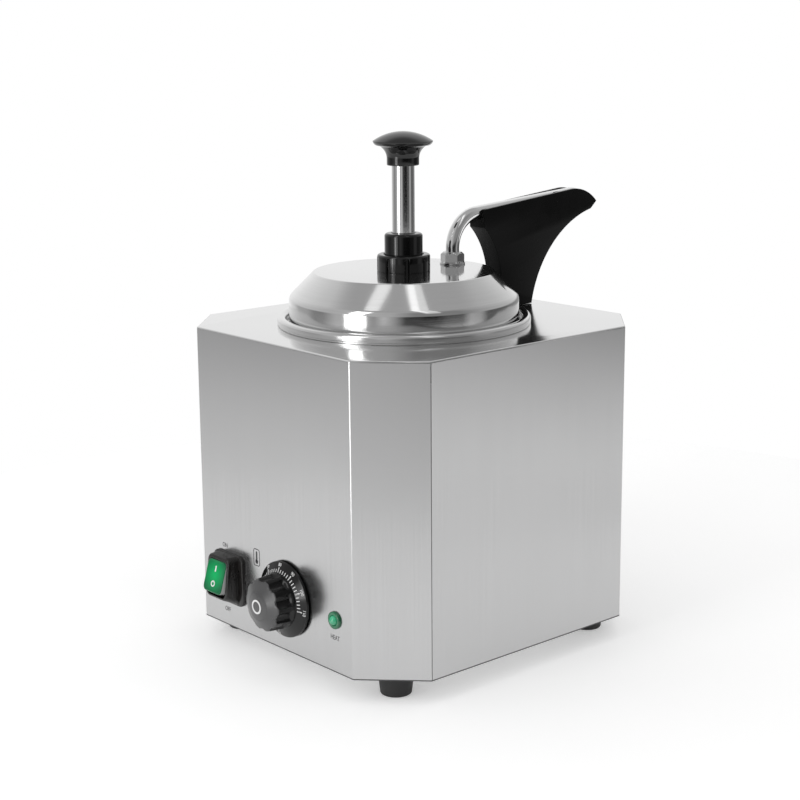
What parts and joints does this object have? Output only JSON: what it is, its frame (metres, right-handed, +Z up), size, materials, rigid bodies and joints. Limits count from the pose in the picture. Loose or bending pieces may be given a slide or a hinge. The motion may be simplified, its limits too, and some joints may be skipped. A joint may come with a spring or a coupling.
{
  "type": "hot fudge topping warmer",
  "caption": "Eight-sided steel countertop warmer with a heated well, lift-out jar, lid-mounted hand pump, guarded spout, thermostat dial and lit rocker switch.",
  "frame": {"origin": "middle of the whole outline on the surface that the feet stand on", "axes": "+Z up; -Y is the control side; +X is the operator's right; the spout points to +Y"},
  "size_m": [0.225, 0.3146, 0.3402],
  "materials": {
    "brushed_panel": "vertical brushed grain",
    "polished_deck": "bright, near mirror",
    "plain_steel": "plain mill finish",
    "lid_steel": "spun, ring-brushed",
    "chrome_tube": "polished",
    "zinc_fastener": "zinc plated steel",
    "foot_rubber": "satin",
    "mineral_wool": "matt wool",
    "copper_tube": "drawn",
    "black_gloss": "gloss moulded",
    "black_satin": "satin moulded",
    "dial_plate": "satin with a white ring",
    "green_rocker": "clear green, lit",
    "green_lamp": "clear green, lit",
    "green_bezel": "green gloss",
    "dark_nylon": "matt",
    "brass_tab": "bright"
  },
  "bodies": {
    "housing": {"front_panel": "brushed_panel", "rear_wrap": "brushed_panel", "top_deck": "polished_deck", "base_plate": "plain_steel", "corner_brackets": "plain_steel", "base_screws": "zinc_fastener", "seam_strips": "plain_steel", "foot_front_left": "foot_rubber", "foot_front_right": "foot_rubber", "foot_rear_left": "foot_rubber", "foot_rear_right": "foot_rubber", "foot_screws": "zinc_fastener", "foot_nuts": "zinc_fastener", "heating_well": "polished_deck", "band_heater": "plain_steel", "clamp_screw": "zinc_fastener", "well_insulation": "mineral_wool", "thermostat_bulb": "copper_tube", "bulb_clips": "plain_steel", "capillary": "copper_tube", "thermostat_body": "black_satin", "thermostat_screws": "zinc_fastener", "switch_housing": "black_satin", "switch_tabs": "brass_tab", "rocker_pin": "zinc_fastener", "pilot_bezel": "green_bezel", "pilot_lens": "green_lamp", "pilot_nut": "dark_nylon", "terminal_block": "dark_nylon", "block_screws": "zinc_fastener", "earth_stud": "zinc_fastener", "earth_nut": "zinc_fastener", "cord_gland": "black_satin", "gland_nut": "black_satin"},
    "jar": {"jar": "plain_steel"},
    "lid_set": {"lid": "lid_steel", "pump_cylinder": "plain_steel", "lock_collar": "black_gloss", "guide_cap": "black_gloss", "valve_body": "dark_nylon", "check_ball": "zinc_fastener", "ball_cage": "plain_steel", "discharge_tube": "chrome_tube", "spout_nut": "chrome_tube", "spout_lock_nut": "chrome_tube", "spout_guard": "black_gloss"},
    "plunger": {"knob": "black_gloss", "plunger_stem": "chrome_tube", "piston_cup": "dark_nylon", "piston_nut": "zinc_fastener", "return_spring": "zinc_fastener"},
    "dial": {"dial_knob": "black_satin", "dial_cap": "dial_plate", "thermostat_shaft": "brass_tab"},
    "rocker": {"rocker": "green_rocker"}
  },
  "joints": [
    {"name": "jar_lift", "type": "slide", "parent": "housing", "child": "jar", "axis": [0, 0, 1], "range_m": [0, 0.2]},
    {"name": "lid_lift", "type": "slide", "parent": "jar", "child": "lid_set", "axis": [0, 0, 1], "range_m": [0, 0.2]},
    {"name": "pump_stroke", "type": "slide", "parent": "lid_set", "child": "plunger", "axis": [0, 0, -1], "range_m": [0, 0.042], "stiffness_N_per_m": 300, "springref_m": -0.03, "deforming": ["return_spring"]},
    {"name": "dial_turn", "type": "hinge", "parent": "housing", "child": "dial", "pos_m": [0.0123, -0.13365, 0.0513], "axis": [0, 1, 0], "range_deg": [0, 270]},
    {"name": "rocker_tilt", "type": "hinge", "parent": "housing", "child": "rocker", "pos_m": [-0.04825, -0.13565, 0.0513], "axis": [1, 0, 0], "range_deg": [0, 12]}
  ]
}
